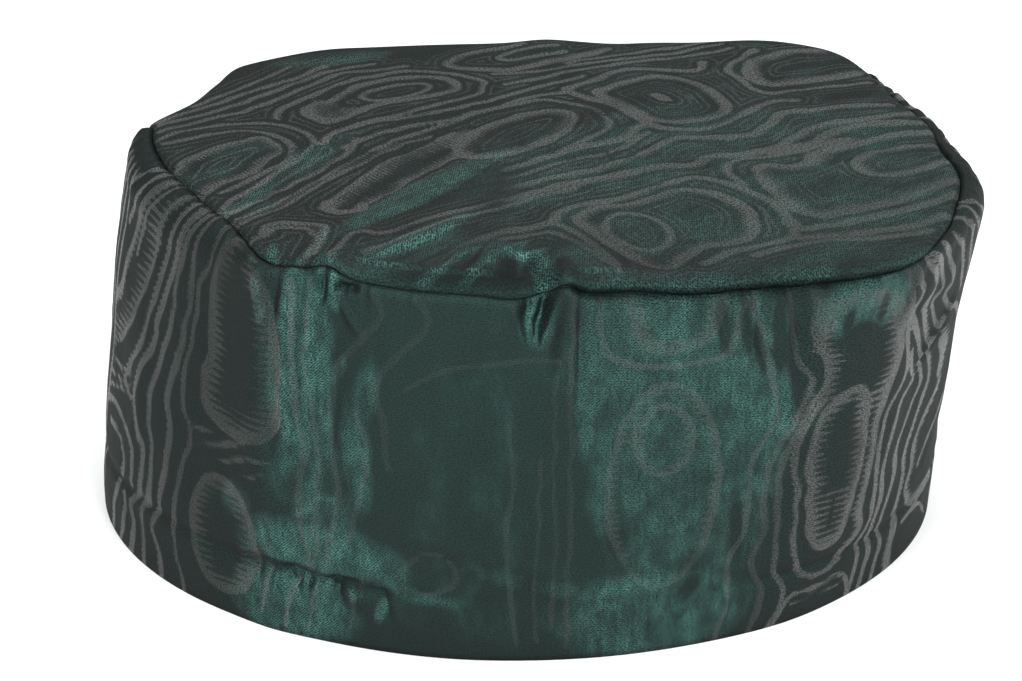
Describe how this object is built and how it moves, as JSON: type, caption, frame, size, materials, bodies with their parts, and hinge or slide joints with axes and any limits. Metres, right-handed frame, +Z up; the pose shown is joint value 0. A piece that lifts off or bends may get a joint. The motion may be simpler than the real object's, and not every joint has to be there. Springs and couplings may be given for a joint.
{
  "type": "soft round flat-topped cap",
  "caption": "Soft brimless round cap with a flat crown, an upright side band with a turned hem, and an open hollow for the head.",
  "frame": {"origin": "under the middle of the cap's box, on the surface that its hem rests on", "axes": "+X towards the wearer's side with the crown's lean, +Y away from the side that the picture shows, +Z up out of the crown"},
  "size_m": [0.2033, 0.1618, 0.0882],
  "materials": {
    "tip_cloth": "watered ribbed taffeta, charcoal grey moire lines on near-black green, soft sheen",
    "band_cloth": "watered ribbed taffeta, dark green with teal sheen and grey moire lines"
  },
  "bodies": {
    "root": {"tip": "tip_cloth", "side_band": "band_cloth"}
  },
  "joints": []
}
